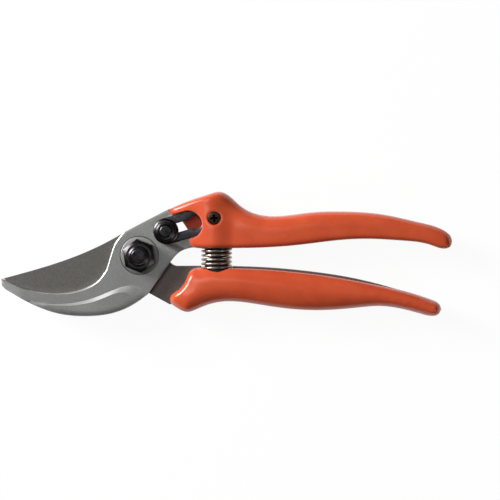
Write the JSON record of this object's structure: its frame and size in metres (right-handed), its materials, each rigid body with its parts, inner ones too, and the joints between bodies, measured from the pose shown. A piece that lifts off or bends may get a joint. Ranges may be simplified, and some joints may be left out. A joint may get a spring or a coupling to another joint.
{
  "type": "pruning shears",
  "caption": "Bypass pruning shears with a hooked counter-blade, two orange moulded grips, a coil return spring and a sliding thumb lock, lying flat",
  "frame": {"origin": "on the pivot axis, at the centre of the pivot bolt head's flat rear face, in the plane that the shears lie on", "axes": "+X along the closed handles, away from the blades; +Y towards the handle with the lock; +Z out of the nut side"},
  "size_m": [0.214, 0.0593, 0.0219],
  "materials": {
    "bead_blasted_steel": "bead blasted and clear lacquered",
    "dark_coated_steel": "ground and dark coated, low friction",
    "black_oxide_steel": "black oxide, lightly polished by use",
    "spring_steel": "drawn wire, bright",
    "orange_nylon": "moulded, satin gloss",
    "black_rubber": "moulded, smooth",
    "black_nylon": "moulded",
    "brass": "turned"
  },
  "bodies": {
    "counter_blade_half": {"counter_blade": "bead_blasted_steel", "pivot_bolt": "black_oxide_steel", "pivot_rear_washer": "black_oxide_steel", "pivot_front_washer": "bead_blasted_steel", "pivot_nut": "black_oxide_steel", "nut_locking_ring": "black_nylon", "upper_grip_front": "orange_nylon", "upper_grip_rear": "orange_nylon", "upper_grip_screw": "black_oxide_steel", "upper_grip_insert": "brass", "upper_end_screw": "black_oxide_steel", "upper_end_insert": "brass", "upper_spring_cup": "black_oxide_steel", "upper_bumper": "black_rubber", "lock_track_plate": "dark_coated_steel", "return_spring": "spring_steel"},
    "cutting_blade_half": {"cutting_blade": "dark_coated_steel", "blade_bush": "brass", "lower_grip_front": "orange_nylon", "lower_grip_rear": "orange_nylon", "lower_grip_screws": "black_oxide_steel", "lower_grip_inserts": "brass", "lower_spring_cup": "black_oxide_steel", "lower_bumper": "black_rubber"},
    "lock": {"lock_knob": "black_oxide_steel", "lock_stud": "black_oxide_steel", "lock_spring_washer": "spring_steel"}
  },
  "joints": [
    {"name": "blade_pivot", "type": "hinge", "parent": "counter_blade_half", "child": "cutting_blade_half", "pos_m": [0, 0, 0.00815], "axis": [0, 0, -1], "range_deg": [0, 28], "deforming": ["return_spring"]},
    {"name": "lock_slide", "type": "slide", "parent": "counter_blade_half", "child": "lock", "axis": [0.9617, 0.274, 0], "range_m": [0, 0.0111]}
  ]
}
